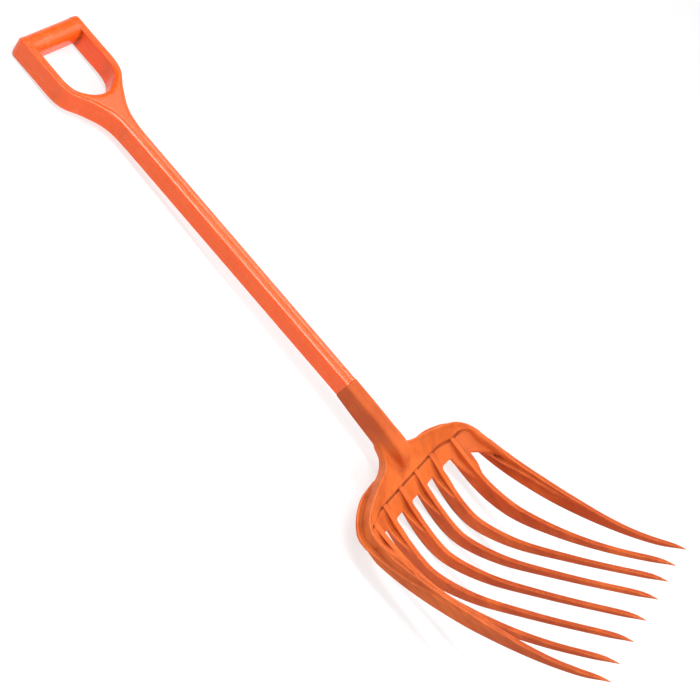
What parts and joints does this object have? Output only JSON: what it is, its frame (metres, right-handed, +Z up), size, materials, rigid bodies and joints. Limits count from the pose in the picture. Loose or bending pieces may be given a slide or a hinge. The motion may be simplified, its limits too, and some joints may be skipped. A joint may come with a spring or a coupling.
{
  "type": "digging fork",
  "caption": "Lightweight all-plastic fork with a D-grip, a straight box-section shaft and a dished scoop head of long curved tines for lifting bedding, leaves and loose soil.",
  "frame": {"origin": "centre of the footprint on the ground the fork lies on", "axes": "+Z up, out of the hollow of the scoop; +Y along the tool from the tine tips to the D-grip; X across the head, the plane of symmetry is x = 0"},
  "size_m": [0.3326, 1.2608, 0.27],
  "materials": {
    "handle": "smooth moulded polypropylene, half gloss",
    "head": "moulded polypropylene, fine matt texture"
  },
  "bodies": {
    "root": {"grip_bar": "handle", "grip_arm_left": "handle", "grip_arm_right": "handle", "grip_yoke": "handle", "shaft": "handle", "socket": "head", "crown": "head", "tine_left_1": "head", "tine_right_1": "head", "tine_left_2": "head", "tine_right_2": "head", "tine_left_3": "head", "tine_right_3": "head", "tine_left_4": "head", "tine_right_4": "head"}
  },
  "joints": []
}
